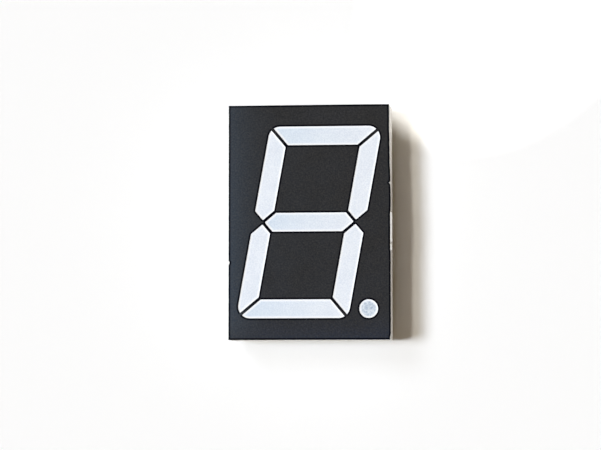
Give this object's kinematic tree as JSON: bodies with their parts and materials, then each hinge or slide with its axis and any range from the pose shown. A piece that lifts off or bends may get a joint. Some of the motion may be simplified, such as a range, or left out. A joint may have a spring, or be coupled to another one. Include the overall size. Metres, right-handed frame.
{
  "type": "seven segment display",
  "caption": "Large one-digit LED display: black face with white slanted segments and a decimal point, white moulded body, pins in two rows at the back.",
  "frame": {"origin": "middle of the display in plan, at the height of the pins' tips, on which it stands", "axes": "+Z out of the black face, +Y towards the top of the digit, +X to the digit's right, where the decimal point is"},
  "size_m": [0.0478, 0.0694, 0.017],
  "materials": {
    "housing_plastic": "satin",
    "face_ink": "matte",
    "diffused_epoxy": "satin",
    "board_laminate": "satin",
    "copper_foil": "satin",
    "clear_epoxy": "gloss",
    "led_die": "gloss",
    "bond_wire": "polished",
    "tinned_wire": "satin",
    "solder": "gloss"
  },
  "bodies": {
    "root": {"reflector_housing": "housing_plastic", "black_face": "face_ink", "decimal_point": "diffused_epoxy", "circuit_board": "board_laminate", "front_copper": "copper_foil", "rear_copper": "copper_foil", "back_potting": "clear_epoxy", "segment_a": "diffused_epoxy", "segment_b": "diffused_epoxy", "segment_c": "diffused_epoxy", "segment_d": "diffused_epoxy", "segment_e": "diffused_epoxy", "segment_f": "diffused_epoxy", "segment_g": "diffused_epoxy", "dies_a": "led_die", "dies_b": "led_die", "dies_c": "led_die", "dies_d": "led_die", "dies_e": "led_die", "dies_f": "led_die", "dies_g": "led_die", "dies_point": "led_die", "bond_wires_a": "bond_wire", "bond_wires_b": "bond_wire", "bond_wires_c": "bond_wire", "bond_wires_d": "bond_wire", "bond_wires_e": "bond_wire", "bond_wires_f": "bond_wire", "bond_wires_g": "bond_wire", "bond_wires_point": "bond_wire", "pin_1": "tinned_wire", "pin_2": "tinned_wire", "pin_3": "tinned_wire", "pin_4": "tinned_wire", "pin_5": "tinned_wire", "pin_6": "tinned_wire", "pin_7": "tinned_wire", "pin_8": "tinned_wire", "pin_9": "tinned_wire", "pin_10": "tinned_wire", "solder_1": "solder", "solder_2": "solder", "solder_3": "solder", "solder_4": "solder", "solder_5": "solder", "solder_6": "solder", "solder_7": "solder", "solder_8": "solder", "solder_9": "solder", "solder_10": "solder"}
  },
  "joints": []
}
